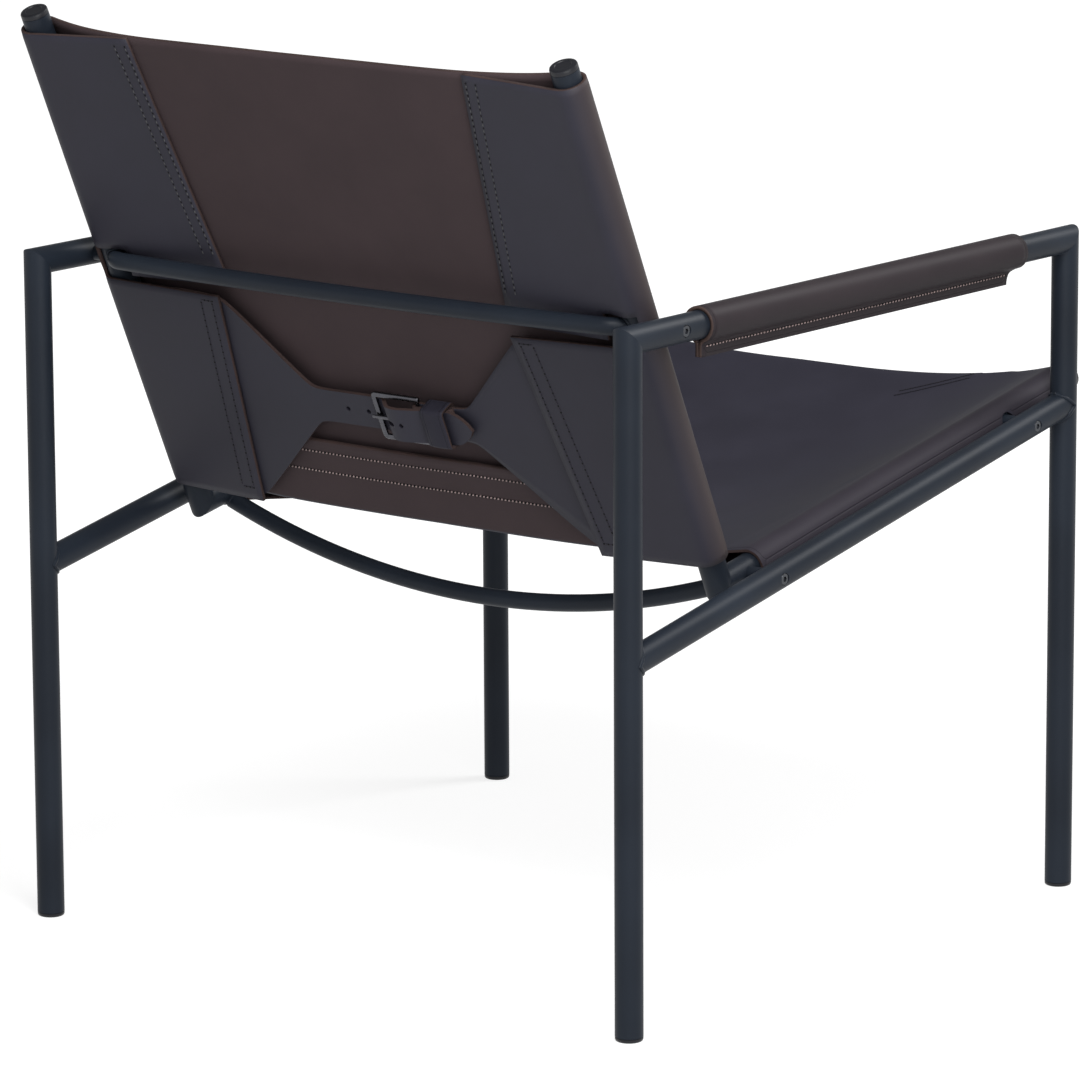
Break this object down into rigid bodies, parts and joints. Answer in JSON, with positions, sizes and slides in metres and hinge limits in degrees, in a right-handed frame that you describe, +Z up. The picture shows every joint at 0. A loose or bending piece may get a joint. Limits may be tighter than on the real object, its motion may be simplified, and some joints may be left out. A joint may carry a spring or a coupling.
{
  "type": "lounge_chair",
  "caption": "Lounge chair with a black round-tube frame, a brown leather sling back and seat drawn tight by buckled straps, and leather arm sleeves.",
  "frame": {"origin": "middle of the chair's footprint, on the floor", "axes": "Z up, the sitter faces -Y, the sitter's left is +X"},
  "size_m": [0.6234, 0.6786, 0.7499],
  "materials": {
    "frame_coat": "satin black powder coat",
    "black_nylon": "moulded, fine matt",
    "black_steel": "black oxide",
    "plain_steel": "zinc plated",
    "sling_leather": "waxed saddle leather, raw edges",
    "sleeve_leather": "waxed saddle leather, raw edges",
    "dark_nickel": "polished dark nickel"
  },
  "bodies": {
    "chair": {"left_rear_leg": "frame_coat", "left_front_leg": "frame_coat", "left_arm_tube": "frame_coat", "left_outer_rail": "frame_coat", "right_rear_leg": "frame_coat", "right_front_leg": "frame_coat", "right_arm_tube": "frame_coat", "right_outer_rail": "frame_coat", "left_back_post": "frame_coat", "right_back_post": "frame_coat", "left_seat_rail": "frame_coat", "right_seat_rail": "frame_coat", "upper_cross_bar": "frame_coat", "lower_cross_bar": "frame_coat", "left_arm_spacer": "frame_coat", "left_rear_rail_spacer": "frame_coat", "left_front_rail_spacer": "frame_coat", "right_arm_spacer": "frame_coat", "right_rear_rail_spacer": "frame_coat", "right_front_rail_spacer": "frame_coat", "left_rear_glide": "black_nylon", "left_front_glide": "black_nylon", "right_rear_glide": "black_nylon", "right_front_glide": "black_nylon", "left_post_cap": "black_nylon", "right_post_cap": "black_nylon", "left_rail_cap": "black_nylon", "right_rail_cap": "black_nylon", "left_arm_screw": "black_steel", "left_rear_rail_screw": "black_steel", "left_front_rail_screw": "black_steel", "right_arm_screw": "black_steel", "right_rear_rail_screw": "black_steel", "right_front_rail_screw": "black_steel", "left_arm_insert": "plain_steel", "left_rear_rail_insert": "plain_steel", "left_front_rail_insert": "plain_steel", "right_arm_insert": "plain_steel", "right_rear_rail_insert": "plain_steel", "right_front_rail_insert": "plain_steel", "back_sling": "sling_leather", "seat_sling": "sling_leather", "left_seat_sleeve": "sling_leather", "right_seat_sleeve": "sling_leather", "back_billet_tab": "sling_leather", "back_buckle_tab": "sling_leather", "seat_billet_tab": "sling_leather", "seat_buckle_tab": "sling_leather", "left_arm_sleeve": "sleeve_leather", "right_arm_sleeve": "sleeve_leather"},
    "back_buckle": {"back_buckle_frame": "dark_nickel"},
    "back_prong": {"back_buckle_prong": "dark_nickel"},
    "back_loop": {"back_keeper": "sling_leather"},
    "seat_buckle": {"seat_buckle_frame": "dark_nickel"},
    "seat_prong": {"seat_buckle_prong": "dark_nickel"},
    "seat_loop": {"seat_keeper": "sling_leather"}
  },
  "joints": [
    {"name": "back_buckle_tilt", "type": "hinge", "parent": "chair", "child": "back_buckle", "pos_m": [-0.031, 0.2126, 0.43424], "axis": [0, 0.4083, 0.9128], "range_deg": [0, 4]},
    {"name": "back_prong_tilt", "type": "hinge", "parent": "back_buckle", "child": "back_prong", "pos_m": [-0.031, 0.2126, 0.43424], "axis": [0, 0.4083, 0.9128], "range_deg": [0, 4]},
    {"name": "back_keeper_slide", "type": "slide", "parent": "chair", "child": "back_loop", "axis": [-1, 0, 0], "range_m": [0, 0.009]},
    {"name": "seat_buckle_tilt", "type": "hinge", "parent": "chair", "child": "seat_buckle", "pos_m": [-0.031, -0.10864, 0.3259], "axis": [0, 0.9818, -0.1902], "range_deg": [0, 4]},
    {"name": "seat_prong_tilt", "type": "hinge", "parent": "seat_buckle", "child": "seat_prong", "pos_m": [-0.031, -0.10864, 0.3259], "axis": [0, 0.9818, -0.1902], "range_deg": [0, 4]},
    {"name": "seat_keeper_slide", "type": "slide", "parent": "chair", "child": "seat_loop", "axis": [-1, 0, 0], "range_m": [0, 0.009]}
  ]
}
